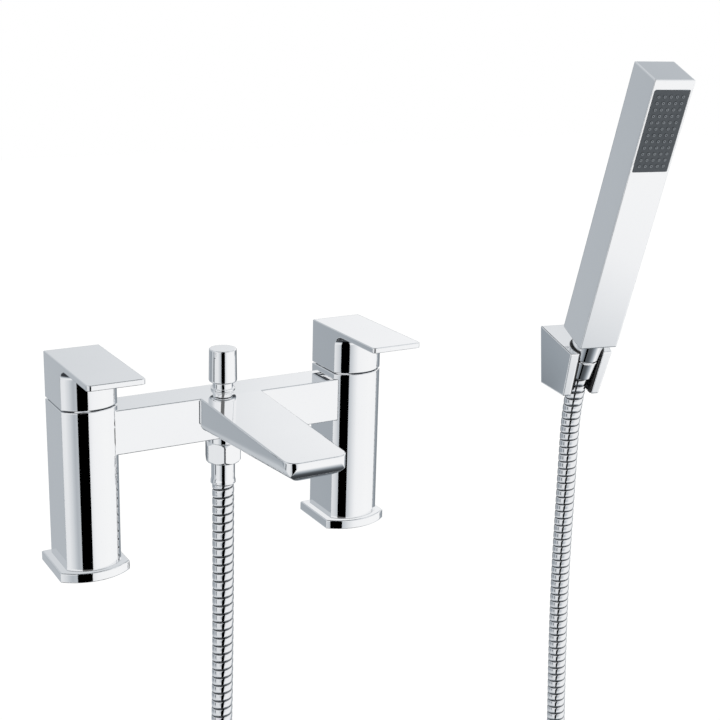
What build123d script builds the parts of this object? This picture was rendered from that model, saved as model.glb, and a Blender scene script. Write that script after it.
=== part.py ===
from build123d import *
import os
from math import cos, pi, radians, sin, tan

# A two-hole deck bath and shower mixer with its hose, handset and wall bracket.
# The origin lies on the deck, midway between the two tap holes. +X runs to the right
# tap, -Y towards the bath and +Z up. All sizes are in millimetres.

# Layout
tap_spacing = 180.0
tap_x = tap_spacing / 2

# Clearances
running_gap = 0.05
seat_gap = 0.3
overrun = 2.0

# Trim plates and the gaskets under them
plate_half_width = 21.6
plate_back = 23.5
plate_crease = 13.15
plate_apex = 21.2
plate_height = 5.7
plate_edge = 0.5
gasket_rim = 2.4
gasket_thickness = 2.0

# Pillars of the mixer body
pillar_half_width = 17.0
pillar_back = 18.6
pillar_crease = 11.0
pillar_apex = 18.5
pillar_top = 105.4
pillar_edge = 0.4
collar_radius = 15.3
inlet_thread_radius = 13.2
inlet_thread_length = 26.0
inlet_bore_radius = 9.0
seat_height = 60.0
seat_bore_radius = 5.6
seat_wall = 6.0
valve_chamber_radius = 11.4
valve_thread_radius = 10.4
valve_thread_length = 10.5

# Bar between the pillars
bar_front = 13.0
bar_back = 12.4
bar_bottom = 74.3
bar_top = 102.1
bar_edge = 0.9
bar_bore_radius = 5.0
bar_bore_height = 86.0
root_fillet = 1.6

# Spout
spout_reach = 127.2
spout_root_half_width = 20.5
spout_root_bottom = 80.9
spout_root_corner = 5.5
spout_tip_half_width = 19.15
spout_tip_top = 97.8
spout_tip_bottom = 85.5
spout_tip_corner = 11.4
spout_plan_corner = 7.0
spout_prow_height = 13.0
spout_prow_rake = 7.0
spout_edge = 0.7
passage_half_width = 12.0
passage_height = 6.4
passage_floor = 89.6
passage_wall = 2.0
outlet_inset = 19.2
outlet_radius = 9.6
outlet_step = 1.6
outlet_step_depth = 1.5

# Flow straightener in the spout's mouth
straightener_depth = 3.2
straightener_hole_radius = 1.1
straightener_hole_pitch = 2.9
straightener_rings = 2

# Ceramic valve cartridges
valve_seal_radius = 8.6
valve_seal_thickness = 2.0
disc_radius = 7.3
disc_thickness = 2.4
disc_port_inner = 2.0
disc_port_outer = 5.8
disc_port_angle = 80.0
cartridge_radius = 9.0
cartridge_window_width = 8.0
cartridge_window_height = 5.0
cartridge_cavity_height = 15.0
cartridge_hex_flats = 20.0
cartridge_hex_height = 4.6
driver_thickness = 2.5
spindle_radius = 4.0
spindle_end_radius = 3.6
spindle_end_length = 12.0
spindle_rise = 2.0
ring_section = 1.0
clip_thickness = 0.8
clip_depth = 0.6
clip_width = 1.6

# Lever handles
handle_gap = 0.8
lever_top = 134.8
lever_thickness = 3.2
lever_reach = 59.4
lever_plan_corner = 2.5
lever_fillet = 7.0
lever_edge = 0.4
handle_wall = 2.6
handle_roof = 4.0
handle_boss_radius = 6.4
handle_rib = 7.0
set_screw_radius = 2.0
set_screw_length = 8.0
set_screw_key = 1.1
set_screw_key_depth = 1.6

# Diverter
chamber_radius = 8.0
chamber_floor = 79.5
chamber_seat_height = 92.0
chamber_seat_thickness = 1.5
chamber_seat_radius = 6.0
chamber_roof = 98.6
shower_bore_radius = 5.0
gland_thread_radius = 7.0
gland_foot_radius = 7.5
gland_foot_height = 1.2
gland_neck_radius = 6.3
gland_top = 107.0
rod_radius = 2.5
rod_thread_length = 9.0
rod_flange_radius = 5.0
rod_flange_thickness = 0.8
rod_nut_radius = 3.8
rod_nut_thickness = 2.0
plug_washer_radius = 7.0
plug_washer_thickness = 1.6
plug_core_thickness = 1.2
knob_bottom = 107.2
knob_top = 128.4
knob_radius = 8.8
knob_top_radius = 8.5
knob_lower_edge = 1.5
knob_upper_edge = 0.6
diverter_spring_radius = 4.0
diverter_spring_wire = 0.7
diverter_spring_turns = 5

# Hose outlet under the bar
stub_radius = 10.2
hose_nut_flats = 21.2
hose_nut_top = 69.0
hose_nut_bottom = 55.0
hose_nut_turn = 12.0
hose_nut_chamfer = 1.3
hose_nut_bevel = 40.0
hose_nut_roof = 2.6
hose_washer_thickness = 2.0
hose_washer_bore = 5.5
ferrule_radius = 7.5
ferrule_bottom_radius = 7.9
ferrule_bottom = 40.4
ferrule_flange_radius = 9.4
ferrule_flange_thickness = 1.4
ferrule_rim = 1.6

# Handset and bracket: the wall behind them is turned a little towards the
# mixer, and the handset's axis leans away from that wall
wall_turn = 11.6
handset_x = 286.0
handset_y = -8.0
handset_z = 105.5
handset_lean = 19.9
handset_width = 29.2
handset_length = 206.0
handset_wall = 2.6
handset_edge = 0.7
handset_floor = 5.0
panel_width = 25.8
panel_span = 57.7
panel_top_gap = 6.9
panel_thickness = 2.0
panel_corner = 1.0
panel_ledge = 1.4
panel_gap = 0.05
nozzle_rows = 12
nozzle_columns = 5
nozzle_pitch = 4.45
nozzle_radius = 1.05
nozzle_orifice = 0.4
nozzle_stand = 0.35
mat_thickness = 1.2
channel_radius = 6.5
channel_wall = 1.5
channel_box_depth = 9.0
neck_length = 15.9
neck_bore_radius = 5.0
neck_thread_radius = 8.2

# The handset's neck and the hose's nut share one cone, which hangs in the bracket
cone_gap = 1.4
cone_length = 32.5
cone_top_radius = 11.7
cone_bottom_radius = 9.2
cone_edge = 0.4
cone_floor = 2.6
cone_hole_radius = 7.6
end_flange_thickness = 1.4
end_washer_thickness = 2.0
end_ferrule_radius = 7.0
hose_end_depth = 31.5
hose_bend_depth = 58.5

# Wall bracket
bracket_drop = 8.8
bracket_height = 36.8
bracket_front = 8.1
bracket_foot_front = 9.3
bracket_top_width = 33.1
bracket_bottom_width = 28.8
bracket_wall_distance = 30.5
bracket_wall_underside = 63.1
bracket_wall_top_width = 48.4
bracket_wall_bottom_width = 41.8
bracket_edge = 0.8
bracket_hole_radius = 12.6
liner_slot = 7.6
liner_rib_pitch = 3.0
liner_rib_width = 1.4
liner_rib_depth = 0.5
liner_recess = 0.6
wall_hole_radius = 2.25
wall_hole_head_radius = 4.1
wall_hole_web = 4.0
wall_hole_height = 85.1
wall_hole_spacing = 17.0

# Hose: the route's points run from the outlet ferrule to the handset
hose_radius = 7.0
hose_root_radius = 6.4
hose_bore_radius = 4.0
hose_ribs = 190
rib_crest_share = 0.55
rib_flank_share = 0.15
arc_share = 0.45
hose_route = [
    (0, 0, 40.4), (0, 0, -95), (-3.5, 2, -235), (-7, -2, -355), (7, -14, -458),
    (57, -25, -532), (140, -28, -561), (222, -22, -532), (279, -8, -462), (302, 4, -355),
    (297.6, 9, -243), (291.6, 11.5, -110), (291.3, 12.4, -8),
]

# Levels and places that follow from the sizes above
passage_start = chamber_radius + passage_wall
outlet_bore = outlet_radius - outlet_step
outlet_reach = spout_reach - outlet_inset
outlet_share = (outlet_reach - bar_front) / (spout_reach - bar_front)
mouth_height = spout_root_bottom + (spout_tip_bottom - spout_root_bottom) * outlet_share
recess_roof = mouth_height + outlet_step_depth
chamber_seat_top = chamber_seat_height + chamber_seat_thickness
nut_floor = hose_nut_bottom + hose_nut_roof
hose_washer_low = nut_floor + ferrule_flange_thickness
stub_bottom = hose_washer_low + hose_washer_thickness
disc_low = seat_height + valve_seal_thickness
driver_low = disc_low + 2 * disc_thickness
window_low = driver_low + driver_thickness + ring_section
thread_low = pillar_top - valve_thread_length
hex_top = pillar_top + cartridge_hex_height
clip_low = hex_top + 2 * running_gap
spindle_ring_height = (thread_low + pillar_top) / 2
handle_low = pillar_top + handle_gap
lever_low = lever_top - lever_thickness
handle_roof_low = lever_top - handle_roof
spindle_top = hex_top + spindle_rise + spindle_end_length
boss_low = hex_top + spindle_rise + seat_gap
screw_height = (boss_low + spindle_top) / 2
washer_low = chamber_floor + seat_gap
plug_top = washer_low + 2 * plug_washer_thickness + plug_core_thickness
rod_ring_height = (bar_top + gland_foot_height + gland_top) / 2

# Frames of the leaning pieces
lean = radians(handset_lean)
turn = radians(wall_turn)
wall_side = Vector(cos(turn), -sin(turn), 0)
wall_back = Vector(sin(turn), cos(turn), 0)
handset_axis = Vector(0, 0, cos(lean)) - wall_back * sin(lean)
handset_front = Vector(0, 0, -sin(lean)) - wall_back * cos(lean)
handset_foot = Vector(handset_x, handset_y, handset_z)
stick = Plane(origin=handset_foot, x_dir=wall_side, z_dir=handset_axis)
socket = stick.offset(-bracket_drop)

os.makedirs("parts", exist_ok=True)


def keep(piece, name):
    piece.part.label = name
    export_step(piece.part, "parts/" + name + ".step")


def level_edges(piece, height):
    """The edges of a piece that lie at one height."""
    return piece.edges().filter_by_position(Axis.Z, height - running_gap, height + running_gap)


def dee_outline(half_width, back, crease, apex, inset=0.0):
    """A flat back, parallel sides and a bowed front that meets them at a crease."""
    side = half_width - inset
    with BuildLine() as outline:
        Polyline((-side, -crease), (-side, back - inset), (side, back - inset), (side, -crease))
        ThreePointArc((side, -crease), (0, inset - apex), (-side, -crease))
    return outline.edges()


def hull_outline(half_width, top, bottom, corner):
    """A spout's section: flat on top, upright sides and rounded lower corners."""
    rise = bottom + corner
    flat = half_width - corner
    diagonal = corner * (1 - cos(radians(45)))
    with BuildLine() as outline:
        Polyline((-half_width, rise), (-half_width, top), (half_width, top), (half_width, rise))
        ThreePointArc(
            (half_width, rise), (half_width - diagonal, bottom + diagonal), (flat, bottom)
        )
        Line((flat, bottom), (-flat, bottom))
        ThreePointArc(
            (-flat, bottom), (diagonal - half_width, bottom + diagonal), (-half_width, rise)
        )
    return outline.edges()


def corner_waste(before, corner, after, radius, outside):
    """What lies outside an arc that rounds a corner, out to a point beyond the corner."""
    with BuildLine() as outline:
        arc = FilletPolyline(before, corner, after, radius=radius, mode=Mode.PRIVATE)
        arc = arc.edges().filter_by(GeomType.CIRCLE)[0]
        add(arc)
        Polyline(arc @ 1, outside, arc @ 0)
    return outline.edges()


def port_outline(heading):
    """A sector-shaped port through a ceramic disc, on the given heading in radians."""
    half = radians(disc_port_angle / 2)
    rays = [Vector(cos(heading + swing), sin(heading + swing)) for swing in (-half, 0, half)]
    with BuildLine() as outline:
        ThreePointArc([ray * disc_port_inner for ray in rays])
        Line(rays[2] * disc_port_inner, rays[2] * disc_port_outer)
        ThreePointArc([ray * disc_port_outer for ray in reversed(rays)])
        Line(rays[0] * disc_port_outer, rays[0] * disc_port_inner)
    return outline.edges()


def ring_piece(base, outer_radius, inner_radius, low, high, name):
    """A plain ring or washer between two heights above a plane."""
    with BuildPart() as ring:
        with BuildSketch(base.offset(low)):
            Circle(outer_radius)
            Circle(inner_radius, mode=Mode.SUBTRACT)
        extrude(amount=high - low)
    keep(ring, name)


# Mixer body: spout, bar and pillars cast in one, with the waterways inside
spout_joint = Plane.XZ.offset(bar_front)
spout_tip = Plane.XZ.offset(spout_reach)
root_hull = hull_outline(spout_root_half_width, bar_top, spout_root_bottom, spout_root_corner)
tip_hull = hull_outline(spout_tip_half_width, spout_tip_top, spout_tip_bottom, spout_tip_corner)
with BuildPart() as mixer_body:
    with BuildSketch(spout_joint):
        make_face(root_hull)
    with BuildSketch(spout_tip):
        make_face(tip_hull)
    loft(ruled=True)
    with BuildSketch(Plane.XY.offset(spout_root_bottom - overrun)):
        for sign in (-1, 1):
            tip_corner = Vector(sign * spout_tip_half_width, -spout_reach)
            make_face(corner_waste(
                Vector(sign * spout_root_half_width, -bar_front), tip_corner,
                Vector(0, -spout_reach), spout_plan_corner,
                tip_corner + Vector(sign, -1) * overrun,
            ))
    extrude(amount=bar_top - spout_root_bottom + 2 * overrun, mode=Mode.SUBTRACT)
    with BuildSketch(Plane.YZ.offset(-spout_root_half_width - overrun)) as profile:
        with BuildLine():
            brow = spout_tip_top - 2 * spout_edge
            prow_low = spout_tip_top - spout_prow_height
            floor = spout_root_bottom - overrun
            prow_end = spout_prow_rake - spout_reach
            Polyline(
                (prow_end, floor), (-bar_front, floor), (-bar_front, bar_top + overrun),
                (-spout_reach, bar_top + overrun), (-spout_reach, brow),
            )
            TangentArc((-spout_reach, brow), (prow_end, prow_low), tangent=(0, -1))
            Line((prow_end, prow_low), (prow_end, floor))
        make_face()
    extrude(amount=2 * (spout_root_half_width + overrun), mode=Mode.INTERSECT)
    top_rim = mixer_body.faces().sort_by(Axis.Z)[-1].edges()
    fillet(top_rim.filter_by(lambda edge: edge.center().Y < -bar_front - spout_edge), spout_edge)
    extrude(mixer_body.faces().sort_by(Axis.Y)[-1], amount=bar_front)
    with BuildSketch(Plane.YZ.offset(-tap_x)) as bar_profile:
        with Locations(((bar_back - bar_front) / 2, (bar_bottom + bar_top) / 2)):
            RectangleRounded(bar_back + bar_front, bar_top - bar_bottom, bar_edge)
    extrude(amount=tap_spacing)
    for tap in (-tap_x, tap_x):
        with BuildSketch(Plane((tap, 0, plate_height))):
            make_face(dee_outline(pillar_half_width, pillar_back, pillar_crease, pillar_apex))
        extrude(amount=pillar_top - plate_height)
        with BuildSketch(Plane((tap, 0, 0))):
            Circle(collar_radius)
        extrude(amount=plate_height + overrun)
    with BuildSketch(Plane.XY.offset(spout_root_bottom + spout_root_corner)):
        for sign in (-1, 1):
            corner = Vector(sign * spout_root_half_width, -bar_front)
            bulge = Vector(sign, -1) * root_fillet * (1 - cos(radians(45)))
            with BuildLine():
                Line(corner, corner + Vector(sign * root_fillet, 0))
                ThreePointArc(
                    corner + Vector(sign * root_fillet, 0), corner + bulge,
                    corner - Vector(0, root_fillet),
                )
                Line(corner - Vector(0, root_fillet), corner)
            make_face()
    extrude(amount=bar_top - bar_edge - spout_root_bottom - spout_root_corner)
    for tap in (-tap_x, tap_x):
        pillar_rim = level_edges(mixer_body, pillar_top)
        chamfer(pillar_rim.filter_by(lambda edge: edge.center().X * tap > 0), pillar_edge)
        inlet_top = seat_height - seat_wall
        thread_top = pillar_top + overrun
        bores = (
            (inlet_thread_radius, -overrun, inlet_thread_length),
            (inlet_bore_radius, inlet_thread_length, inlet_top),
            (seat_bore_radius, inlet_top, seat_height),
            (valve_chamber_radius, seat_height, pillar_top - valve_thread_length),
            (valve_thread_radius, pillar_top - valve_thread_length, thread_top),
        )
        for radius, low, high in bores:
            with BuildSketch(Plane((tap, 0, low))):
                Circle(radius)
            extrude(amount=high - low, mode=Mode.SUBTRACT)
    with BuildSketch(Plane.XY.offset(stub_bottom)):
        Circle(stub_radius)
    extrude(amount=bar_bottom + bar_edge - stub_bottom)
    chamfer(level_edges(mixer_body, stub_bottom), pillar_edge)
    with BuildSketch(Plane.YZ.offset(-tap_x)):
        with Locations((0, bar_bore_height)):
            Circle(bar_bore_radius)
    extrude(amount=tap_spacing, mode=Mode.SUBTRACT)
    chamber_bores = (
        (shower_bore_radius, stub_bottom - overrun, chamber_floor),
        (chamber_radius, chamber_floor, chamber_seat_height),
        (chamber_seat_radius, chamber_seat_height, chamber_seat_top),
        (chamber_radius, chamber_seat_top, chamber_roof),
        (gland_thread_radius, chamber_roof, bar_top + overrun),
    )
    for radius, low, high in chamber_bores:
        with BuildSketch(Plane.XY.offset(low)):
            Circle(radius)
        extrude(amount=high - low, mode=Mode.SUBTRACT)
    with BuildSketch(Plane.XY.offset(chamber_seat_top)):
        with Locations((0, -(bar_front + passage_height) / 2)):
            Rectangle(2 * chamber_seat_radius, bar_front + passage_height)
    extrude(amount=chamber_roof - chamber_seat_top, mode=Mode.SUBTRACT)
    with BuildSketch(Plane.XY.offset(passage_floor)):
        with Locations((0, -(passage_start + outlet_reach + outlet_bore) / 2)):
            Rectangle(2 * passage_half_width, outlet_reach + outlet_bore - passage_start)
    extrude(amount=passage_height, mode=Mode.SUBTRACT)
    for radius, high in ((outlet_radius, recess_roof), (outlet_bore, passage_floor + overrun)):
        with BuildSketch(Plane.XY.offset(bar_bottom)):
            with Locations((0, -outlet_reach)):
                Circle(radius)
        extrude(amount=high - bar_bottom, mode=Mode.SUBTRACT)
keep(mixer_body, "mixer_body")

# Flow straightener, a perforated disc pressed up into the spout's mouth
with BuildPart() as flow_straightener:
    with BuildSketch(Plane.XY.offset(recess_roof - outlet_step_depth + seat_gap)):
        with Locations((0, -outlet_reach)):
            Circle(outlet_radius - running_gap)
    extrude(amount=outlet_step_depth - seat_gap)
    with BuildSketch(Plane.XY.offset(recess_roof)):
        with Locations((0, -outlet_reach)):
            Circle(outlet_bore - running_gap)
    extrude(amount=straightener_depth)
    with BuildSketch(Plane.XY.offset(recess_roof - outlet_step_depth)):
        with Locations((0, -outlet_reach)):
            Circle(straightener_hole_radius)
            for ring in range(1, straightener_rings + 1):
                with PolarLocations(ring * straightener_hole_pitch, 6 * ring):
                    Circle(straightener_hole_radius)
    extrude(amount=outlet_step_depth + straightener_depth, mode=Mode.SUBTRACT)
keep(flow_straightener, "flow_straightener")

for side, tap in (("left", -tap_x), ("right", tap_x)):
    deck = Plane((tap, 0, 0))
    inward = -1 if tap > 0 else 1

    # Trim plate on the deck, with a recess below for its gasket
    with BuildPart() as trim_plate:
        with BuildSketch(deck):
            make_face(dee_outline(plate_half_width, plate_back, plate_crease, plate_apex))
        extrude(amount=plate_height)
        chamfer(trim_plate.faces().sort_by(Axis.Z)[-1].edges(), plate_edge)
        with BuildSketch(deck):
            make_face(
                dee_outline(plate_half_width, plate_back, plate_crease, plate_apex, gasket_rim)
            )
        extrude(amount=gasket_thickness, mode=Mode.SUBTRACT)
        with BuildSketch(deck):
            Circle(collar_radius + seat_gap)
        extrude(amount=plate_height, mode=Mode.SUBTRACT)
    keep(trim_plate, side + "_trim_plate")

    with BuildPart() as deck_gasket:
        with BuildSketch(deck):
            make_face(
                dee_outline(
                    plate_half_width, plate_back, plate_crease, plate_apex, gasket_rim + seat_gap
                )
            )
            Circle(collar_radius + seat_gap, mode=Mode.SUBTRACT)
        extrude(amount=gasket_thickness)
    keep(deck_gasket, side + "_deck_gasket")

    # Valve cartridge: seal and fixed disc on the seat, moving disc driven by the spindle
    ring_piece(deck, valve_seal_radius, seat_bore_radius, seat_height, disc_low, side + "_valve_seal")
    for name, heading, low in (
        ("_fixed_disc", 0.0, disc_low), ("_moving_disc", pi / 2, disc_low + disc_thickness)
    ):
        with BuildPart() as valve_disc:
            with BuildSketch(deck.offset(low)):
                Circle(disc_radius)
                make_face(port_outline(heading), mode=Mode.SUBTRACT)
                make_face(port_outline(heading + pi), mode=Mode.SUBTRACT)
            extrude(amount=disc_thickness)
        keep(valve_disc, side + name)

    with BuildPart() as cartridge:
        with BuildSketch(deck.offset(disc_low)):
            Circle(cartridge_radius)
        extrude(amount=thread_low - disc_low)
        with BuildSketch(deck.offset(thread_low)):
            Circle(valve_thread_radius - running_gap)
        extrude(amount=pillar_top - thread_low)
        with BuildSketch(deck.offset(pillar_top)):
            RegularPolygon(cartridge_hex_flats / 2, 6, major_radius=False)
        extrude(amount=cartridge_hex_height)
        with BuildSketch(deck.offset(disc_low)):
            Circle(disc_radius + running_gap)
        extrude(amount=cartridge_cavity_height, mode=Mode.SUBTRACT)
        with BuildSketch(deck.offset(disc_low)):
            Circle(spindle_radius + running_gap)
        extrude(amount=hex_top - disc_low, mode=Mode.SUBTRACT)
        with BuildSketch(deck.offset(window_low)):
            Rectangle(2 * (cartridge_radius + overrun), cartridge_window_width)
        extrude(amount=cartridge_window_height, mode=Mode.SUBTRACT)
    keep(cartridge, side + "_cartridge")

    with BuildPart() as spindle:
        with BuildSketch(deck.offset(driver_low)):
            Circle(disc_radius)
            make_face(port_outline(pi / 2), mode=Mode.SUBTRACT)
            make_face(port_outline(3 * pi / 2), mode=Mode.SUBTRACT)
        extrude(amount=driver_thickness)
        with BuildSketch(deck.offset(driver_low + driver_thickness)):
            Circle(spindle_radius)
        extrude(amount=hex_top + spindle_rise - driver_low - driver_thickness)
        with BuildSketch(deck.offset(hex_top + spindle_rise)):
            Circle(spindle_end_radius)
        extrude(amount=spindle_end_length)
        for depth, width, low in (
            (ring_section, ring_section + seat_gap, spindle_ring_height - (ring_section + seat_gap) / 2),
            (clip_depth, clip_thickness + 2 * running_gap, clip_low - running_gap),
        ):
            with BuildSketch(deck.offset(low)):
                Circle(spindle_radius + overrun)
                Circle(spindle_radius - depth, mode=Mode.SUBTRACT)
            extrude(amount=width, mode=Mode.SUBTRACT)
    keep(spindle, side + "_spindle")

    with BuildPart() as spindle_ring:
        with Locations((tap, 0, spindle_ring_height)):
            Torus(spindle_radius - ring_section / 2, ring_section / 2 - running_gap)
    keep(spindle_ring, side + "_spindle_ring")

    with BuildPart() as spindle_clip:
        with BuildSketch(deck.offset(clip_low)):
            Circle(spindle_radius - clip_depth + clip_width)
            Circle(spindle_radius - clip_depth + running_gap, mode=Mode.SUBTRACT)
            with Locations((clip_width + spindle_radius / 2, 0)):
                Rectangle(spindle_radius + 2 * clip_width, spindle_radius, mode=Mode.SUBTRACT)
        extrude(amount=clip_thickness)
    keep(spindle_clip, side + "_spindle_clip")

    # Lever handle: a hollow barrel under a thin flat plate that reaches to the front
    with BuildPart() as handle:
        with BuildSketch(deck.offset(handle_low)):
            make_face(dee_outline(pillar_half_width, pillar_back, pillar_crease, pillar_apex))
        extrude(amount=lever_low - handle_low)
        with BuildSketch(deck.offset(lever_low)) as lever_plan:
            with Locations((0, (pillar_back - lever_reach) / 2)):
                Rectangle(2 * pillar_half_width, pillar_back + lever_reach)
            fillet(lever_plan.vertices().group_by(Axis.Y)[0], lever_plan_corner)
        extrude(amount=lever_thickness)
        overhang = handle.faces().filter_by_position(Axis.Z, lever_low, lever_low).edges()
        fillet(overhang.filter_by(GeomType.CIRCLE).group_by(SortBy.LENGTH)[-1], lever_fillet)
        chamfer(handle.faces().sort_by(Axis.Z)[-1].edges(), lever_edge)
        chamfer(handle.faces().sort_by(Axis.Z)[0].edges(), pillar_edge)
        with BuildSketch(deck.offset(handle_low)):
            make_face(
                dee_outline(
                    pillar_half_width, pillar_back, pillar_crease, pillar_apex, handle_wall
                )
            )
        extrude(amount=handle_roof_low - handle_low, mode=Mode.SUBTRACT)
        with BuildSketch(deck.offset(boss_low)):
            Circle(handle_boss_radius)
            with Locations((0, pillar_back / 2)):
                Rectangle(handle_rib, pillar_back - handle_wall / 2)
        extrude(amount=handle_roof_low - boss_low)
        with BuildSketch(deck.offset(boss_low)):
            Circle(spindle_end_radius + running_gap)
        extrude(amount=spindle_top + seat_gap - boss_low, mode=Mode.SUBTRACT)
        with BuildSketch(Plane((tap, pillar_back + overrun, screw_height), z_dir=(0, -1, 0))):
            Circle(set_screw_radius + running_gap)
        extrude(amount=pillar_back + overrun, mode=Mode.SUBTRACT)
    keep(handle, side + "_handle")

    with BuildPart() as set_screw:
        with BuildSketch(Plane((tap, spindle_end_radius + running_gap, screw_height), z_dir=(0, 1, 0))):
            Circle(set_screw_radius)
        extrude(amount=set_screw_length)
        with BuildSketch(set_screw.faces().sort_by(Axis.Y)[-1]):
            RegularPolygon(set_screw_key, 6)
        extrude(amount=-set_screw_key_depth, mode=Mode.SUBTRACT)
    keep(set_screw, side + "_set_screw")

# Diverter: gland in the bar's top, rod with its washers, spring and pull knob
with BuildPart() as diverter_gland:
    for radius, low, high in (
        (gland_thread_radius - running_gap, chamber_roof, bar_top),
        (gland_foot_radius, bar_top, bar_top + gland_foot_height),
        (gland_neck_radius, bar_top + gland_foot_height, gland_top),
    ):
        with BuildSketch(Plane.XY.offset(low)):
            Circle(radius)
        extrude(amount=high - low)
    chamfer(diverter_gland.faces().sort_by(Axis.Z)[-1].edges(), pillar_edge)
    with BuildSketch(Plane.XY.offset(chamber_roof)):
        Circle(rod_radius + running_gap)
    extrude(amount=gland_top - chamber_roof, mode=Mode.SUBTRACT)
    with BuildSketch(Plane.XY.offset(rod_ring_height - ring_section / 2 - running_gap)):
        Circle(rod_radius + ring_section + running_gap)
    extrude(amount=ring_section + 2 * running_gap, mode=Mode.SUBTRACT)
keep(diverter_gland, "diverter_gland")

with BuildPart() as diverter_ring:
    with Locations((0, 0, rod_ring_height)):
        Torus(rod_radius + ring_section / 2, ring_section / 2 - running_gap)
keep(diverter_ring, "diverter_rod_ring")

with BuildPart() as diverter_rod:
    for radius, low, high in (
        (rod_radius, washer_low - rod_nut_thickness, knob_bottom + rod_thread_length),
        (rod_flange_radius, plug_top, plug_top + rod_flange_thickness),
    ):
        with BuildSketch(Plane.XY.offset(low)):
            Circle(radius)
        extrude(amount=high - low)
keep(diverter_rod, "diverter_rod")

base = Plane.XY
upper_washer_low = washer_low + plug_washer_thickness + plug_core_thickness
with BuildPart() as diverter_washers:
    for low in (washer_low, upper_washer_low):
        with BuildSketch(Plane.XY.offset(low)):
            Circle(plug_washer_radius)
            Circle(rod_radius, mode=Mode.SUBTRACT)
        extrude(amount=plug_washer_thickness)
keep(diverter_washers, "diverter_washers")
ring_piece(
    base, plug_washer_radius, rod_radius, washer_low + plug_washer_thickness, upper_washer_low,
    "diverter_plug",
)
ring_piece(
    base, rod_nut_radius, rod_radius, washer_low - rod_nut_thickness, washer_low,
    "diverter_rod_nut",
)

with BuildPart() as diverter_spring:
    wire = diverter_spring_wire
    spring_low = plug_top + rod_flange_thickness + wire / 2 + running_gap
    spring_rise = chamber_roof - seat_gap - wire / 2 - spring_low
    with BuildLine():
        coil = Helix(
            spring_rise / diverter_spring_turns, spring_rise, diverter_spring_radius,
            center=(0, 0, spring_low),
        )
    with BuildSketch(Plane(origin=coil @ 0, z_dir=coil % 0)):
        Circle(wire / 2)
    sweep()
keep(diverter_spring, "diverter_spring")

with BuildPart() as diverter_knob:
    with BuildSketch(Plane.XZ):
        with BuildLine():
            Polyline(
                (0, knob_bottom), (knob_radius, knob_bottom), (knob_top_radius, knob_top),
                (0, knob_top), close=True,
            )
        make_face()
    revolve(axis=Axis.Z)
    fillet(diverter_knob.faces().sort_by(Axis.Z)[0].edges(), knob_lower_edge)
    fillet(diverter_knob.faces().sort_by(Axis.Z)[-1].edges(), knob_upper_edge)
    with BuildSketch(Plane.XY.offset(knob_bottom)):
        Circle(rod_radius + running_gap)
    extrude(amount=rod_thread_length + seat_gap, mode=Mode.SUBTRACT)
keep(diverter_knob, "diverter_knob")

# Hose outlet: hex nut, washer and ferrule below the threaded stub
with BuildPart() as hose_nut:
    with BuildSketch(Plane.XY.offset(hose_nut_bottom)):
        RegularPolygon(hose_nut_flats / 2, 6, major_radius=False, rotation=hose_nut_turn)
    extrude(amount=hose_nut_top - hose_nut_bottom)
    with BuildSketch(Plane.XZ):
        with BuildLine():
            crown = hose_nut_flats / 2 + hose_nut_chamfer
            flat = hose_nut_flats / 2 - pillar_edge
            drop = (crown - flat) / tan(radians(hose_nut_bevel))
            Polyline(
                (0, hose_nut_bottom), (flat, hose_nut_bottom),
                (crown, hose_nut_bottom + drop), (crown, hose_nut_top - drop),
                (flat, hose_nut_top), (0, hose_nut_top), close=True,
            )
        make_face()
    revolve(axis=Axis.Z, mode=Mode.INTERSECT)
    with BuildSketch(Plane.XY.offset(nut_floor)):
        Circle(stub_radius + running_gap)
    extrude(amount=hose_nut_top - nut_floor, mode=Mode.SUBTRACT)
    with BuildSketch(Plane.XY.offset(hose_nut_bottom)):
        Circle(ferrule_radius + 2 * running_gap)
    extrude(amount=hose_nut_roof, mode=Mode.SUBTRACT)
keep(hose_nut, "hose_nut")
ring_piece(
    base, ferrule_flange_radius, hose_washer_bore, hose_washer_low, stub_bottom, "hose_washer"
)

with BuildPart() as ferrule:
    with BuildSketch(Plane.XZ):
        with BuildLine():
            Polyline(
                (hose_bore_radius, ferrule_bottom), (ferrule_bottom_radius, ferrule_bottom),
                (ferrule_bottom_radius, ferrule_bottom + ferrule_rim),
                (ferrule_radius, ferrule_bottom + 2 * ferrule_rim), (ferrule_radius, nut_floor),
                (ferrule_flange_radius, nut_floor), (ferrule_flange_radius, hose_washer_low),
                (hose_bore_radius, hose_washer_low), close=True,
            )
        make_face()
    revolve(axis=Axis.Z)
keep(ferrule, "hose_ferrule")

# Handset: a hollow square stick with a spray panel let into its front
front_face = Plane(
    origin=handset_foot + handset_front * (handset_width / 2),
    x_dir=wall_side, z_dir=-handset_front,
)
panel_low = handset_length - panel_top_gap - panel_span
panel_middle = panel_low + panel_span / 2
inner_width = handset_width - 2 * handset_wall
with BuildPart() as handset_shell:
    with BuildSketch(stick):
        Rectangle(handset_width, handset_width)
    extrude(amount=handset_length)
    fillet(handset_shell.edges(), handset_edge)
    with BuildSketch(stick):
        Rectangle(inner_width, inner_width)
    extrude(amount=handset_length - handset_wall, mode=Mode.SUBTRACT)
    with BuildSketch(front_face):
        with Locations((0, -panel_middle)):
            RectangleRounded(panel_width, panel_span, panel_corner)
    extrude(amount=panel_thickness, mode=Mode.SUBTRACT)
    with BuildSketch(front_face):
        with Locations((0, -panel_middle)):
            Rectangle(panel_width - 2 * panel_ledge, panel_span - 2 * panel_ledge)
    extrude(amount=handset_wall + overrun, mode=Mode.SUBTRACT)
keep(handset_shell, "handset_shell")

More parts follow.
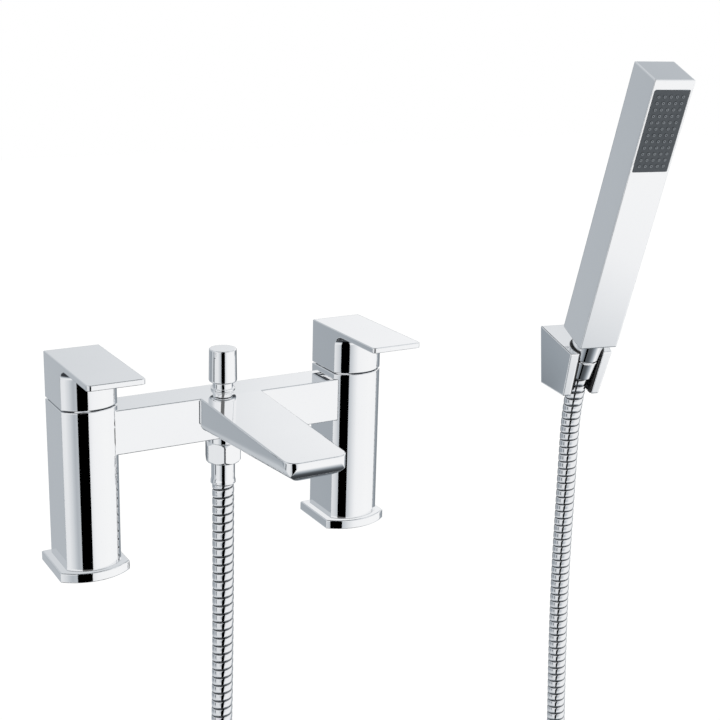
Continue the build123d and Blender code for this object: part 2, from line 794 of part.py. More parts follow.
with BuildPart() as spray_plate:
    with BuildSketch(front_face):
        with Locations((0, -panel_middle)):
            RectangleRounded(panel_width - 2 * panel_gap, panel_span - 2 * panel_gap, panel_corner)
            with GridLocations(nozzle_pitch, nozzle_pitch, nozzle_columns, nozzle_rows):
                Circle(nozzle_radius + running_gap, mode=Mode.SUBTRACT)
    extrude(amount=panel_thickness)
keep(spray_plate, "spray_plate")

mat_width = panel_width - 2 * panel_ledge - 2 * panel_gap
mat_span = panel_span - 2 * panel_ledge - 2 * panel_gap
mat_back = panel_thickness + mat_thickness
with BuildPart() as nozzle_mat:
    with BuildSketch(front_face.offset(panel_thickness)):
        with Locations((0, -panel_middle)):
            Rectangle(mat_width, mat_span)
    extrude(amount=mat_thickness)
    with BuildSketch(front_face.offset(-nozzle_stand)):
        with Locations((0, -panel_middle)):
            with GridLocations(nozzle_pitch, nozzle_pitch, nozzle_columns, nozzle_rows):
                Circle(nozzle_radius)
    extrude(amount=nozzle_stand + panel_thickness)
    with BuildSketch(front_face.offset(-nozzle_stand)):
        with Locations((0, -panel_middle)):
            with GridLocations(nozzle_pitch, nozzle_pitch, nozzle_columns, nozzle_rows):
                Circle(nozzle_orifice)
    extrude(amount=nozzle_stand + mat_back, mode=Mode.SUBTRACT)
keep(nozzle_mat, "nozzle_mat")

# Water way inside the handset: a tube up the stick and a shallow box behind the nozzles
channel_low = handset_floor - panel_thickness
box_width = inner_width - 2 * seat_gap
box_span = panel_span - 2 * seat_gap
with BuildPart() as water_way:
    with BuildSketch(front_face.offset(mat_back)):
        with Locations((0, -panel_middle)):
            Rectangle(box_width, box_span)
    extrude(amount=channel_box_depth)
    with BuildSketch(stick.offset(channel_low)):
        Circle(channel_radius)
    extrude(amount=panel_low + channel_wall - channel_low)
    with BuildSketch(front_face.offset(mat_back)):
        with Locations((0, -panel_middle)):
            Rectangle(box_width - 2 * channel_wall, box_span - 2 * channel_wall)
    extrude(amount=channel_box_depth - channel_wall, mode=Mode.SUBTRACT)
    with BuildSketch(stick.offset(channel_low)):
        Circle(channel_radius - channel_wall)
    extrude(amount=panel_low + 2 * channel_wall - channel_low, mode=Mode.SUBTRACT)
keep(water_way, "handset_water_way")

# Neck at the handset's foot, and the hose's conical nut below it
cone_slope = (cone_top_radius - cone_bottom_radius) / cone_length
neck_end_radius = cone_top_radius - cone_slope * neck_length
nut_top_depth = neck_length + cone_gap
nut_top_radius = cone_top_radius - cone_slope * nut_top_depth
nut_ledge_depth = cone_length - cone_floor
end_flange_depth = nut_ledge_depth - end_flange_thickness - running_gap
neck_end_depth = end_flange_depth - end_washer_thickness
with BuildPart() as handset_neck:
    with BuildSketch(stick):
        Rectangle(inner_width - 2 * panel_gap, inner_width - 2 * panel_gap)
    extrude(amount=handset_floor)
    for depth, radius, end_depth, end_radius in (
        (0, cone_top_radius, neck_length, neck_end_radius),
        (neck_length, neck_thread_radius, neck_end_depth, neck_thread_radius),
    ):
        with BuildSketch(stick.offset(-depth)):
            Circle(radius)
        with BuildSketch(stick.offset(-end_depth)):
            Circle(end_radius)
        loft(ruled=True)
    with BuildSketch(stick.offset(handset_floor)):
        Circle(neck_bore_radius)
    extrude(amount=-handset_floor - neck_end_depth, mode=Mode.SUBTRACT)
    with BuildSketch(stick.offset(handset_floor)):
        Circle(channel_radius + running_gap)
    extrude(amount=channel_low - handset_floor, mode=Mode.SUBTRACT)
keep(handset_neck, "handset_neck")

with BuildPart() as cone_nut:
    with BuildSketch(stick.offset(-nut_top_depth)):
        Circle(nut_top_radius)
    with BuildSketch(stick.offset(-cone_length)):
        Circle(cone_bottom_radius)
    loft(ruled=True)
    chamfer(cone_nut.edges().filter_by(GeomType.CIRCLE), cone_edge)
    with BuildSketch(stick.offset(-nut_top_depth)):
        Circle(neck_thread_radius + running_gap)
    extrude(amount=nut_top_depth - nut_ledge_depth, mode=Mode.SUBTRACT)
    with BuildSketch(stick.offset(-nut_top_depth)):
        Circle(cone_hole_radius)
    extrude(amount=nut_top_depth - cone_length, mode=Mode.SUBTRACT)
keep(cone_nut, "cone_nut")
ring_piece(
    stick, neck_thread_radius - running_gap, neck_bore_radius, running_gap - end_flange_depth,
    -neck_end_depth, "handset_washer",
)

with BuildPart() as end_ferrule:
    with BuildSketch(stick.offset(-hose_end_depth)):
        Circle(end_ferrule_radius)
    extrude(amount=hose_end_depth - end_flange_depth)
    with BuildSketch(stick.offset(-end_flange_depth)):
        Circle(neck_thread_radius - running_gap)
    extrude(amount=-end_flange_thickness)
    with BuildSketch(stick.offset(-hose_end_depth)):
        Circle(hose_bore_radius)
    extrude(amount=hose_end_depth - end_flange_depth, mode=Mode.SUBTRACT)
keep(end_ferrule, "hose_end_ferrule")

# Wall bracket: a block that widens to the wall, with a round hole open to the front
face_top = socket.from_local_coords((0, -bracket_front, 0))
face_foot = socket.from_local_coords((0, -bracket_foot_front, -bracket_height))
wall_foot = handset_foot + wall_back * bracket_wall_distance
wall_foot = Vector(wall_foot.X, wall_foot.Y, bracket_wall_underside)
underside = Plane(
    origin=face_foot, x_dir=wall_side, z_dir=wall_side.cross(wall_foot - face_foot)
)
bracket_face = Plane(
    origin=face_foot, x_dir=wall_side, z_dir=wall_side.cross(face_top - face_foot)
)
socket_reach = (bracket_wall_distance - bracket_drop * sin(lean)) / cos(lean)
foot_reach = (wall_foot - face_foot).length
bracket_depth = bracket_height + bracket_drop
with BuildPart() as wall_bracket:
    for plane, front, reach, front_width, wall_width in (
        (socket, bracket_front, socket_reach, bracket_top_width, bracket_wall_top_width),
        (underside, 0, foot_reach, bracket_bottom_width, bracket_wall_bottom_width),
    ):
        flare = (wall_width - front_width) / (reach + front)
        back_width = wall_width + flare * overrun
        with BuildSketch(plane):
            with BuildLine():
                Polyline(
                    (-front_width / 2, -front), (front_width / 2, -front),
                    (back_width / 2, reach + overrun), (-back_width / 2, reach + overrun),
                    close=True,
                )
            make_face()
    loft(ruled=True)
    split(bisect_by=Plane(origin=wall_foot, z_dir=wall_back), keep=Keep.BOTTOM)
    fillet(
        wall_bracket.edges().filter_by(
            lambda edge: (edge.center() - wall_foot).dot(wall_back) < -bracket_edge
        ),
        bracket_edge,
    )
    with BuildSketch(socket.offset(overrun)):
        Circle(bracket_hole_radius)
    extrude(amount=-bracket_depth - 2 * overrun, mode=Mode.SUBTRACT)
    for rise in (-wall_hole_spacing / 2, wall_hole_spacing / 2):
        for radius, reach in (
            (wall_hole_head_radius, bracket_wall_distance - wall_hole_web),
            (wall_hole_radius, bracket_wall_distance),
        ):
            hole_start = Vector(handset_x, handset_y, wall_hole_height + rise)
            with BuildSketch(Plane(origin=hole_start, z_dir=wall_back)):
                Circle(radius)
            extrude(amount=reach, mode=Mode.SUBTRACT)
keep(wall_bracket, "wall_bracket")

with BuildPart() as bracket_liner:
    with BuildSketch(socket):
        Circle(bracket_hole_radius - running_gap)
    extrude(amount=-bracket_depth)
    liner_top_radius = cone_top_radius - cone_slope * bracket_drop + seat_gap
    with BuildSketch(socket):
        Circle(liner_top_radius)
    with BuildSketch(socket.offset(-bracket_depth)):
        Circle(liner_top_radius - cone_slope * bracket_depth)
    loft(ruled=True, mode=Mode.SUBTRACT)
    for rib in range(1, int(bracket_depth / liner_rib_pitch)):
        depth = rib * liner_rib_pitch
        with BuildSketch(socket.offset(-depth)):
            Circle(liner_top_radius - cone_slope * depth + liner_rib_depth)
        extrude(amount=-liner_rib_width, mode=Mode.SUBTRACT)
    with BuildSketch(socket.offset(overrun)):
        with Locations((0, -bracket_hole_radius)):
            Rectangle(2 * liner_slot, 2 * bracket_hole_radius)
    extrude(amount=-bracket_depth - 2 * overrun, mode=Mode.SUBTRACT)
    split(bisect_by=bracket_face.offset(-liner_recess), keep=Keep.BOTTOM)
    split(bisect_by=underside.offset(liner_recess), keep=Keep.TOP)
keep(bracket_liner, "bracket_liner")

# Hose: one ruled, ribbed tube along straight runs joined by large arcs
points = [Vector(*point) for point in hose_route]
points += [handset_foot - handset_axis * depth for depth in (hose_bend_depth, hose_end_depth)]
radii = []
for before, point, after in zip(points, points[1:], points[2:]):
    shorter = min((point - before).length, (after - point).length)
    bend = radians((point - before).get_angle(after - point))
    radii.append(arc_share * shorter / tan(bend / 2))
with BuildLine():
    route = FilletPolyline(*points, radius=radii)
hose_length = route.length
straight = 2 * hose_radius
rib_pitch = (hose_length - 2 * straight) / hose_ribs
stations = [(0.0, hose_root_radius)]
for rib in range(hose_ribs):
    start = straight + rib * rib_pitch
    flank = rib_flank_share * rib_pitch
    crest = rib_crest_share * rib_pitch
    stations += [
        (start, hose_root_radius), (start + flank, hose_radius),
        (start + flank + crest, hose_radius), (start + 2 * flank + crest, hose_root_radius),
    ]
stations.append((hose_length, hose_root_radius))


def across(distance):
    """The plane square to the hose at a distance along its route."""
    share = distance / hose_length
    return Plane(route.position_at(share), x_dir=(0, 1, 0), z_dir=route.tangent_at(share))


with BuildPart() as hose:
    for distance, radius in stations:
        with BuildSketch(across(distance)):
            Circle(radius)
    loft(ruled=True)
    with BuildSketch(across(0)):
        Circle(hose_bore_radius)
    sweep(path=route, mode=Mode.SUBTRACT)
keep(hose, "hose")
print("Hose arc radii:", ", ".join(str(round(radius)) for radius in radii))
print("Hose length:", round(hose_length, 1), "lowest:", round(route.bounding_box().min.Z, 1))
section = pi * (hose_radius**2 - hose_bore_radius**2)
print("Hose volume:", round(hose.part.volume), "full tube:", round(section * hose_length))
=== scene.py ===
import math

import bmesh
import bpy
from mathutils import Matrix, Vector


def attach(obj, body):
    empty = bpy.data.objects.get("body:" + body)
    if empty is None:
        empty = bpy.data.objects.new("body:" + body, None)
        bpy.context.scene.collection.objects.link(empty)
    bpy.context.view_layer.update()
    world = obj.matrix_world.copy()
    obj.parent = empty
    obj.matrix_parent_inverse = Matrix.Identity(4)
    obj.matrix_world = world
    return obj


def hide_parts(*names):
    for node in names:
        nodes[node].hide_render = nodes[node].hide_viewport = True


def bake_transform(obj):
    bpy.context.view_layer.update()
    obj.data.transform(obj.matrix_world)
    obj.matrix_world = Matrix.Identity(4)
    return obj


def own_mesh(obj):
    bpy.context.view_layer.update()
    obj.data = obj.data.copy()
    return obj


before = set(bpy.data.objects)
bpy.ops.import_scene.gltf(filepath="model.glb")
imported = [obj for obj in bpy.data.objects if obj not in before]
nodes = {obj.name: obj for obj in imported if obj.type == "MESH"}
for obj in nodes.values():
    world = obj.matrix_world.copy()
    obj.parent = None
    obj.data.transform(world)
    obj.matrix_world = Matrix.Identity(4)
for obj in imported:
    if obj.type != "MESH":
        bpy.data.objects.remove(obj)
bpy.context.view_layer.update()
scene = bpy.context.scene
mm = 0.001
print("frame loaded:", len(nodes), "nodes")


# Node trees: a socket that takes part in sums, and the bench that lays the nodes out
class Signal:
    def __init__(self, bench, socket):
        self.bench = bench
        self.socket = socket

    def __add__(self, other):
        return self.bench.sum("ADD", self, other)

    def __radd__(self, other):
        return self.bench.sum("ADD", other, self)

    def __sub__(self, other):
        return self.bench.sum("SUBTRACT", self, other)

    def __rsub__(self, other):
        return self.bench.sum("SUBTRACT", other, self)

    def __mul__(self, other):
        return self.bench.sum("MULTIPLY", self, other)

    def __rmul__(self, other):
        return self.bench.sum("MULTIPLY", other, self)

    def __truediv__(self, other):
        return self.bench.sum("DIVIDE", self, other)

    def __rtruediv__(self, other):
        return self.bench.sum("DIVIDE", other, self)


class Bench:
    def __init__(self, tree):
        self.tree = tree
        tree.nodes.clear()

    def node(self, kind, settings, sockets):
        made = self.tree.nodes.new(kind)
        for name, value in settings.items():
            if name == "stops":  # a ramp's places and greys or colours
                stops = made.color_ramp.elements
                while len(stops) < len(value):
                    stops.new(1.0)
                for stop, (place, shade) in zip(stops, value):
                    channels = shade if isinstance(shade, tuple) else (shade, shade, shade)
                    stop.position = place
                    stop.color = (*channels, 1.0)
            else:
                setattr(made, name, value)
        for name, value in sockets.items():
            socket = made.inputs[name] if isinstance(name, int) else self.shown(made.inputs, name)
            if isinstance(value, Signal):
                self.tree.links.new(value.socket, socket)
            else:
                socket.default_value = value
        return {socket.name: Signal(self, socket) for socket in made.outputs if socket.enabled}

    def sum(self, operation, *values):
        return self.node("ShaderNodeMath", {"operation": operation}, dict(enumerate(values)))["Value"]

    def shown(self, sockets, name):
        return next(socket for socket in sockets if socket.enabled and socket.name == name)

    def noise(self, scale, detail):
        place = self.node("ShaderNodeTexCoord", {}, {})["Object"]
        return self.node(
            "ShaderNodeTexNoise", {}, {"Vector": place, "Scale": scale, "Detail": detail}
        )["Fac"]

    def ramp(self, value, stops):
        return self.node("ShaderNodeValToRGB", {"stops": stops}, {"Fac": value})["Color"]

    def blend(self, factor, first, second):
        return self.node(
            "ShaderNodeMix", {"data_type": "RGBA"}, {"Factor": factor, "A": first, "B": second}
        )["Result"]

    def smoothStep(self, value, low, high):
        return self.node(
            "ShaderNodeMapRange", {"interpolation_type": "SMOOTHSTEP"},
            {"Value": value, "From Min": low, "From Max": high},
        )["Result"]


def newBench(name):
    material = bpy.data.materials.new(name)
    material.use_nodes = True
    return material, Bench(material.node_tree)


def surface(bench, sockets):
    shader = bench.node("ShaderNodeBsdfPrincipled", {}, sockets)["BSDF"]
    bench.node("ShaderNodeOutputMaterial", {}, {"Surface": shader})


# Finishes. Lengths are in metres and colours are linear
def mottled(bench, look):
    tone = bench.noise(look["toneScale"], look["toneDetail"])
    return bench.blend(tone, look["colour"], look["palerColour"])


def paintedCreaseShade(bench, tone, look):  # painted shade: the base colour turns dark by ambient occlusion in grooves and around what stands out of a face
    if "paintedShadeReach" not in look:
        return tone
    # painted shade: ambient occlusion sets where the base colour darkens
    openness = bench.node(
        "ShaderNodeAmbientOcclusion", {"samples": look["paintedShadeSamples"]},
        {"Distance": look["paintedShadeReach"]},
    )["AO"]
    return bench.blend(bench.ramp(openness, look["paintedShadeStops"]), look["paintedShadeColour"], tone)


def roundedBump(bench, height, strength, depth, look):
    edge = bench.node(
        "ShaderNodeBevel", {"samples": look["edgeSamples"]}, {"Radius": look["edgeRadius"]}
    )["Normal"]
    return bench.node(
        "ShaderNodeBump", {},
        {"Strength": strength, "Distance": depth, "Height": height, "Normal": edge},
    )["Normal"]


def platedFinish(name, look):
    material, bench = newBench(name)
    smudge = bench.ramp(bench.noise(look["smudgeScale"], look["smudgeDetail"]), look["smudgeStops"])
    ripple = bench.noise(look["rippleScale"], look["rippleDetail"])
    surface(bench, {
        "Base Color": paintedCreaseShade(bench, mottled(bench, look), look), "Metallic": 1.0,
        "Roughness": smudge * look["smudgeRoughness"] + look["roughness"],
        "Normal": roundedBump(bench, ripple, look["rippleStrength"], look["rippleDepth"], look),
    })
    return material


def mouldedFinish(name, look):
    material, bench = newBench(name)
    grain = bench.noise(look["grainScale"], look["grainDetail"])
    surface(bench, {
        "Base Color": paintedCreaseShade(bench, mottled(bench, look), look), "Metallic": look["metallic"],
        "Roughness": grain * look["grainRoughness"] + look["roughness"],
        "Normal": roundedBump(bench, grain, 1.0, look["grainDepth"], look),
    })
    return material


chrome = {
    "colour": (0.90, 0.905, 0.915, 1.0), "palerColour": (0.93, 0.935, 0.94, 1.0),
    "toneScale": 30.0, "toneDetail": 2.0, "roughness": 0.025,
    "smudgeScale": 45.0, "smudgeDetail": 4.0, "smudgeStops": [(0.45, 0.0), (0.75, 1.0)],
    "smudgeRoughness": 0.03, "edgeRadius": 0.85 * mm, "edgeSamples": 8,
    "rippleScale": 60.0, "rippleDetail": 1.0, "rippleDepth": 0.02 * mm, "rippleStrength": 0.3,
}
handsetChrome = {
    **chrome, "roughness": 0.04, "smudgeScale": 30.0, "edgeRadius": 1.1 * mm, "rippleScale": 45.0,
}
hoseChrome = {
    **chrome, "colour": (0.80, 0.81, 0.83, 1.0), "palerColour": (0.90, 0.905, 0.91, 1.0),
    "toneScale": 400.0, "roughness": 0.05, "smudgeScale": 260.0, "smudgeRoughness": 0.06,
    "edgeRadius": 0.12 * mm,
    # painted shade in the hose's grooves, darkening its base colour
    "paintedShadeReach": 1.6 * mm, "paintedShadeSamples": 8, "paintedShadeStops": [(0.62, 0.0), (0.84, 1.0)],
    "paintedShadeColour": (0.05, 0.053, 0.058, 1.0),
}
moulded = {
    "colour": (0.050, 0.060, 0.070, 1.0), "palerColour": (0.066, 0.077, 0.088, 1.0),
    "toneScale": 80.0, "toneDetail": 2.0, "roughness": 0.36, "metallic": 0.0,
    "grainScale": 2500.0, "grainDetail": 3.0, "grainDepth": 0.02 * mm, "grainRoughness": 0.12,
    "edgeRadius": 0.2 * mm, "edgeSamples": 4,
}
paintedRingShade = {  # the spray panel, with painted shade around its nozzles in its base colour
    **moulded,
    "paintedShadeReach": 0.7 * mm, "paintedShadeSamples": 8, "paintedShadeStops": [(0.55, 0.0), (0.90, 1.0)],
    "paintedShadeColour": (0.006, 0.008, 0.010, 1.0),
}
finishes = {
    "polished_chrome": platedFinish("polishedChrome", chrome),
    "handset_chrome": platedFinish("handsetChrome", handsetChrome),
    "hose_chrome": platedFinish("hoseChrome", hoseChrome),
    # panel and nozzles carry painted shade rings in their base colour
    "charcoal_plastic": mouldedFinish("charcoalPlastic", paintedRingShade),
    "nozzle_rubber": mouldedFinish("nozzleRubber", {
        **paintedRingShade, "colour": (0.17, 0.19, 0.21, 1.0), "palerColour": (0.21, 0.23, 0.25, 1.0),
        "roughness": 0.5,
    }),
    "black_plastic": mouldedFinish("blackPlastic", {
        **moulded, "colour": (0.006, 0.006, 0.007, 1.0), "palerColour": (0.012, 0.012, 0.013, 1.0),
        "roughness": 0.34,
    }),
    "white_plastic": mouldedFinish("whitePlastic", {
        **moulded, "colour": (0.74, 0.74, 0.72, 1.0), "palerColour": (0.80, 0.80, 0.78, 1.0),
    }),
    "rubber": mouldedFinish("blackRubber", {
        **moulded, "colour": (0.014, 0.014, 0.015, 1.0), "palerColour": (0.024, 0.024, 0.025, 1.0),
        "roughness": 0.62,
    }),
    "ceramic": mouldedFinish("ceramic", {
        **moulded, "colour": (0.80, 0.78, 0.74, 1.0), "palerColour": (0.86, 0.85, 0.82, 1.0),
        "roughness": 0.12, "grainDepth": 0.004 * mm,
    }),
    "brass": mouldedFinish("turnedBrass", {
        **moulded, "colour": (0.66, 0.46, 0.20, 1.0), "palerColour": (0.76, 0.56, 0.28, 1.0),
        "roughness": 0.22, "metallic": 1.0, "grainDepth": 0.008 * mm,
    }),
    "steel": mouldedFinish("stainlessSteel", {
        **moulded, "colour": (0.52, 0.52, 0.52, 1.0), "palerColour": (0.62, 0.62, 0.61, 1.0),
        "roughness": 0.2, "metallic": 1.0, "grainDepth": 0.006 * mm,
    }),
}
# The photo's chrome mirrors the tent and not the body, so neither it nor what it holds is mirrored
unmirrored = {"node": "mixer_body", "slots": ("brass", "steel", "ceramic", "rubber", "white_plastic")}
for name, node in nodes.items():
    for place in node.material_slots:
        slot = place.material.name.split(".")[0]
        place.material = finishes[slot]
        if name == unmirrored["node"] or slot in unmirrored["slots"]:
            node.visible_glossy = False
print("finishes given to the CAD nodes")


# Hose: the route's control points, in metres, from the outlet ferrule to the handset
hoseRoute = [
    (0, 0, 0.0404), (0, 0, -0.095), (-0.0035, 0.002, -0.235), (-0.007, -0.002, -0.355),
    (0.007, -0.014, -0.458), (0.057, -0.025, -0.532), (0.140, -0.028, -0.561),
    (0.222, -0.022, -0.532), (0.279, -0.008, -0.462), (0.302, 0.004, -0.355),
    (0.2976, 0.009, -0.243), (0.2916, 0.0115, -0.110), (0.2913, 0.0124, -0.008),
    (0.290004, 0.011506, 0.050493), (0.288156, 0.002503, 0.075881),
]
hoseLook = {
    "radius": 7.0 * mm, "length": 1.3878, "pitch": 5.8 * mm,
    "sides": 24, "routeSteps": 48, "weldShare": 0.002,
    "profile": [  # share of the pitch, share of the radius: a wound strip with a narrow groove
        (0.0, 0.84), (0.04, 0.84), (0.07, 0.955), (0.13, 0.985), (0.40, 1.0), (0.70, 0.995),
        (0.85, 0.98), (0.92, 0.94), (0.955, 0.84), (1.0, 0.84),
    ],
    "liftFrom": (0.06, 0, -0.55), "liftTo": (0.28, 0, -0.55),  # the loop between the two strands
}


def routeCurve(name, points, steps):
    data = bpy.data.curves.new(name, "CURVE")
    data.dimensions = "3D"
    data.resolution_u = steps
    spline = data.splines.new("NURBS")
    spline.points.add(len(points) - 1)
    for point, place in zip(spline.points, points):
        point.co = (*place, 1.0)
    spline.order_u = 3
    spline.use_endpoint_u = True
    curve = bpy.data.objects.new(name, data)
    scene.collection.objects.link(curve)
    return curve


def evaluatedMesh(item):
    bpy.context.view_layer.update()
    graph = bpy.context.evaluated_depsgraph_get()
    return bpy.data.meshes.new_from_object(item.evaluated_get(graph))


def addPiece(name, mesh, slot):
    piece = bpy.data.objects.new(name, mesh)
    scene.collection.objects.link(piece)
    mesh.materials.clear()
    mesh.materials.append(finishes[slot])
    return piece


def everything(bm):
    return bm.verts[:] + bm.edges[:] + bm.faces[:]


def woundHose(look, length):
    turns = round(length / look["pitch"])
    pitch = length / turns
    weld = pitch * look["weldShare"]
    bm = bmesh.new()
    row = [
        bm.verts.new((pitch * (along - 1), 0, look["radius"] * out)) for along, out in look["profile"]
    ]
    edges = [bm.edges.new(pair) for pair in zip(row, row[1:])]
    bmesh.ops.spin(
        bm, geom=row + edges, cent=(0, 0, 0), axis=(1, 0, 0), dvec=(pitch / look["sides"], 0, 0),
        angle=2 * math.pi, steps=look["sides"],
    )
    copies = 1
    while copies < turns + 1:
        made = bmesh.ops.duplicate(bm, geom=everything(bm))["geom"]
        moved = [part for part in made if isinstance(part, bmesh.types.BMVert)]
        bmesh.ops.translate(bm, verts=moved, vec=(pitch * copies, 0, 0))
        copies = 2 * copies
    for end, outwards in ((0, -1), (length, 1)):
        bmesh.ops.bisect_plane(
            bm, geom=everything(bm), dist=weld / 2, plane_co=(end, 0, 0),
            plane_no=(outwards, 0, 0), clear_outer=True,
        )
    bmesh.ops.remove_doubles(bm, verts=bm.verts, dist=weld)
    bmesh.ops.holes_fill(bm, edges=[edge for edge in bm.edges if edge.is_boundary], sides=0)
    bmesh.ops.recalc_face_normals(bm, faces=bm.faces)
    for face in bm.faces:
        face.smooth = len(face.verts) < 5  # the end caps stay flat
    mesh = bpy.data.meshes.new("woundHose")
    bm.to_mesh(mesh)
    bm.free()
    return mesh


route = routeCurve("hoseRoute", hoseRoute, hoseLook["routeSteps"])
routeLine = evaluatedMesh(route)
hosePath = [vertex.co.copy() for vertex in routeLine.vertices]
bpy.data.meshes.remove(routeLine)
hoseLength = sum((after - before).length for before, after in zip(hosePath, hosePath[1:]))
straightHose = addPiece("straightHose", woundHose(hoseLook, hoseLength), "hose_chrome")
bend = straightHose.modifiers.new("route", "CURVE")
bend.object = route
bend.deform_axis = "POS_X"
bentMesh = evaluatedMesh(straightHose)
bpy.data.objects.remove(straightHose)
bpy.data.objects.remove(route)
hose = addPiece("shower_hose", bentMesh, "hose_chrome")
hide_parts("hose")
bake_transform(hose)
print("hose wound:", round(hoseLength, 4), "m,", len(bentMesh.polygons), "faces")


# Return spring: on the real mixer it shortens under the gland as the diverter is pulled; here it is a
# fixed copy of the CAD spring, attached to the mixer body
springLook = {"travel": 7.5 * mm, "slot": "steel"}
spring = nodes["diverter_spring"]
coils = spring.data.copy()
coils.transform(spring.matrix_world)
returnSpring = addPiece("return_spring", coils, springLook["slot"])
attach(returnSpring, "mixer")
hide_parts("diverter_spring")
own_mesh(returnSpring)


# Studio: a pale tent, told apart by direction, with a dark card beside the camera.
# A band's levels start at its first elevation, in degrees, and are full at its second;
# each level goes with a share of the turn from +Y through -X, -Y and +X
studio = {
    "floorLevel": -0.60, "floorSize": 12.0, "floorColour": (0.93, 0.93, 0.93, 1.0),
    "floorGlow": 1.08, "glowShare": 0.75, "diffuseLevel": 0.92,
    "keyEnergy": 3.0, "keySize": 1.2, "keyPlace": (-0.8, -1.0, 1.2),
    "cardPlace": (-0.20, -0.50, -0.1), "cardWidth": 0.29, "cardHeight": 2.2, "cardEcho": 0.16,
    "horizon": [
        (0.0, 0.35), (0.045, 0.52), (0.081, 0.42), (0.119, 0.27), (0.167, 0.62), (0.20, 0.66),
        (0.205, 0.06), (0.222, 0.06), (0.238, 0.80), (0.32, 0.82), (0.36, 0.69), (0.392, 0.50),
        (0.467, 0.64), (0.50, 0.78), (0.533, 0.885), (0.57, 0.93), (0.66, 0.97), (0.76, 0.93),
        (0.79, 0.34), (0.85, 0.22), (0.88, 0.04), (0.93, 0.06), (1.0, 0.30),
    ],
    "bands": [
        {"from": -24.0, "to": -36.0, "levels": [
            (0.0, 0.60), (0.14, 0.74), (0.3, 0.80), (0.45, 0.90), (0.56, 0.96), (0.70, 0.95),
            (0.85, 0.4), (0.93, 0.3), (1.0, 0.60),
        ]},
        {"from": -40.0, "to": -64.0, "levels": [
            (0.0, 0.04), (0.25, 0.04), (0.58, 0.06), (0.75, 0.05), (0.88, 0.04), (1.0, 0.04),
        ]},
        {"from": -4.0, "to": 10.0, "levels": [
            (0.0, 0.60), (0.15, 0.66), (0.26, 0.90), (0.80, 0.95), (0.912, 0.89), (0.925, 0.85),
            (0.934, 0.78), (0.95, 0.73), (1.0, 0.60),
        ]},
        {"from": 22.0, "to": 38.0, "levels": [(0.0, 0.50), (0.5, 0.70), (0.86, 0.54), (1.0, 0.50)]},
        {"from": 38.0, "to": 48.0, "levels": [(0.0, 0.70), (0.5, 0.85), (0.86, 0.78), (1.0, 0.70)]},
        {"from": 54.0, "to": 68.0, "levels": [(0.0, 0.05), (0.5, 0.12), (1.0, 0.05)]},
    ],
    "tint": [
        (0.0, (0.003, 0.003, 0.004)), (0.35, (0.31, 0.345, 0.38)), (0.65, (0.60, 0.63, 0.66)),
        (0.9, (0.95, 0.955, 0.965)), (1.0, (1.0, 1.0, 1.0)),
    ],
}
white = (1.0, 1.0, 1.0, 1.0)


def background(bench, colour):
    return bench.node("ShaderNodeBackground", {}, {"Color": colour})["Background"]


def glowing(bench, strength):
    return bench.node("ShaderNodeEmission", {}, {"Color": white, "Strength": strength})["Emission"]


def mixed(bench, share, first, second):
    return bench.node("ShaderNodeMixShader", {}, {0: share, 1: first, 2: second})["Shader"]


def tentWorld(look):
    world = bpy.data.worlds.new("studioTent")
    world.use_nodes = True
    scene.world = world
    bench = Bench(world.node_tree)
    heading = bench.node("ShaderNodeTexCoord", {}, {})["Generated"]
    axes = bench.node("ShaderNodeSeparateXYZ", {}, {"Vector": heading})
    radian = math.degrees(1)
    # Azimuth in degrees from -Y towards +X, and elevation in degrees
    azimuth = bench.sum("ARCTAN2", axes["X"], 0 - axes["Y"]) * radian
    elevation = bench.sum("ARCSINE", axes["Z"]) * radian
    turn = (azimuth + 180) / 360
    level = bench.ramp(turn, look["horizon"])
    for band in look["bands"]:
        reached = bench.smoothStep(elevation, band["from"], band["to"])
        level = bench.blend(reached, level, bench.ramp(turn, band["levels"]))
    path = bench.node("ShaderNodeLightPath", {}, {})
    plain = look["diffuseLevel"]
    even = background(bench, (plain, plain, plain, 1.0))
    mirrored = background(bench, bench.ramp(level, look["tint"]))
    lit = mixed(bench, path["Is Glossy Ray"], even, mirrored)
    seen = path["Is Camera Ray"] + path["Is Transmission Ray"]
    whole = mixed(bench, seen, lit, background(bench, white))
    bench.node("ShaderNodeOutputWorld", {}, {"Surface": whole})


def stagePlane(name, corners, material):
    bm = bmesh.new()
    bm.faces.new([bm.verts.new(corner) for corner in corners])
    mesh = bpy.data.meshes.new(name)
    bm.to_mesh(mesh)
    bm.free()
    mesh.materials.append(material)
    plane = bpy.data.objects.new(name, mesh)
    scene.collection.objects.link(plane)
    return plane


def addFloor(look):
    material, bench = newBench("paleFloor")
    path = bench.node("ShaderNodeLightPath", {}, {})
    paint = bench.node("ShaderNodeBsdfDiffuse", {}, {"Color": look["floorColour"]})["BSDF"]
    seen = path["Is Camera Ray"] + path["Is Glossy Ray"] + path["Is Transmission Ray"]
    shader = mixed(bench, seen * look["glowShare"], paint, glowing(bench, look["floorGlow"]))
    bench.node("ShaderNodeOutputMaterial", {}, {"Surface": shader})
    half = look["floorSize"] / 2
    floor = stagePlane(
        "studioFloor",
        [(x * half, y * half, look["floorLevel"]) for x, y in ((-1, -1), (1, -1), (1, 1), (-1, 1))],
        material,
    )
    floor.visible_glossy = False


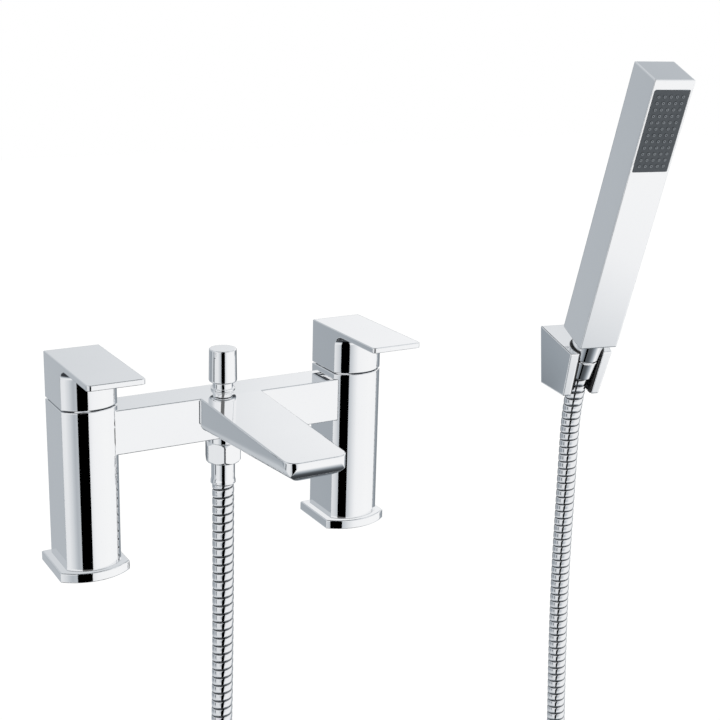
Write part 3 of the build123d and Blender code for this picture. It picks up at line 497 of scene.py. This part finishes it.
def addDarkCard(look):
    material, bench = newBench("darkCard")
    # Black where a surface mirrors the card straight, greyer where it mirrors another's mirror image
    echo = (bench.node("ShaderNodeLightPath", {}, {})["Ray Depth"] - 1) * look["cardEcho"]
    bench.node("ShaderNodeOutputMaterial", {}, {"Surface": glowing(bench, echo)})
    middle = Vector(look["cardPlace"])
    across = Vector((middle.y, -middle.x, 0)).normalized() * look["cardWidth"] / 2
    rise = Vector((0, 0, look["cardHeight"] / 2))
    card = stagePlane(
        "darkCard",
        [middle - across - rise, middle + across - rise, middle + across + rise, middle - across + rise],
        material,
    )
    card.visible_camera = False
    card.visible_diffuse = False
    card.visible_shadow = False


def addKeyLamp(look):
    lamp = bpy.data.lights.new("keyLamp", "AREA")
    lamp.energy = look["keyEnergy"]
    lamp.size = look["keySize"]
    key = bpy.data.objects.new("keyLamp", lamp)
    key.location = look["keyPlace"]
    key.rotation_mode = "QUATERNION"
    key.rotation_quaternion = (-key.location).to_track_quat("-Z", "Y")
    key.visible_glossy = False
    scene.collection.objects.link(key)


camera = {
    "azimuth": -30.52, "elevation": 16.19, "roll": 1.60, "lens": 66.28, "sensor": 36.0,
    "nearest": 0.01, "place": (-0.32698, -0.72189, 0.35213),
}


def addCamera(look):
    azimuth = math.radians(look["azimuth"])
    elevation = math.radians(look["elevation"])
    roll = math.radians(look["roll"])
    back = Vector((
        math.sin(azimuth) * math.cos(elevation), -math.cos(azimuth) * math.cos(elevation),
        math.sin(elevation),
    ))
    right = Vector((math.cos(azimuth), math.sin(azimuth), 0))
    up = back.cross(right)
    rolledRight = right * math.cos(roll) + up * math.sin(roll)
    rolledUp = up * math.cos(roll) - right * math.sin(roll)
    data = bpy.data.cameras.new("photoCamera")
    data.lens = look["lens"]
    data.sensor_width = look["sensor"]
    data.clip_start = look["nearest"]
    holder = bpy.data.objects.new("photoCamera", data)
    scene.collection.objects.link(holder)
    turned = Matrix((rolledRight, rolledUp, back)).transposed().to_4x4()
    holder.matrix_world = Matrix.Translation(look["place"]) @ turned
    scene.camera = holder


tentWorld(studio)
addFloor(studio)
addDarkCard(studio)
addKeyLamp(studio)
addCamera(camera)
scene.view_settings.view_transform = "Standard"
print("studio and camera set")
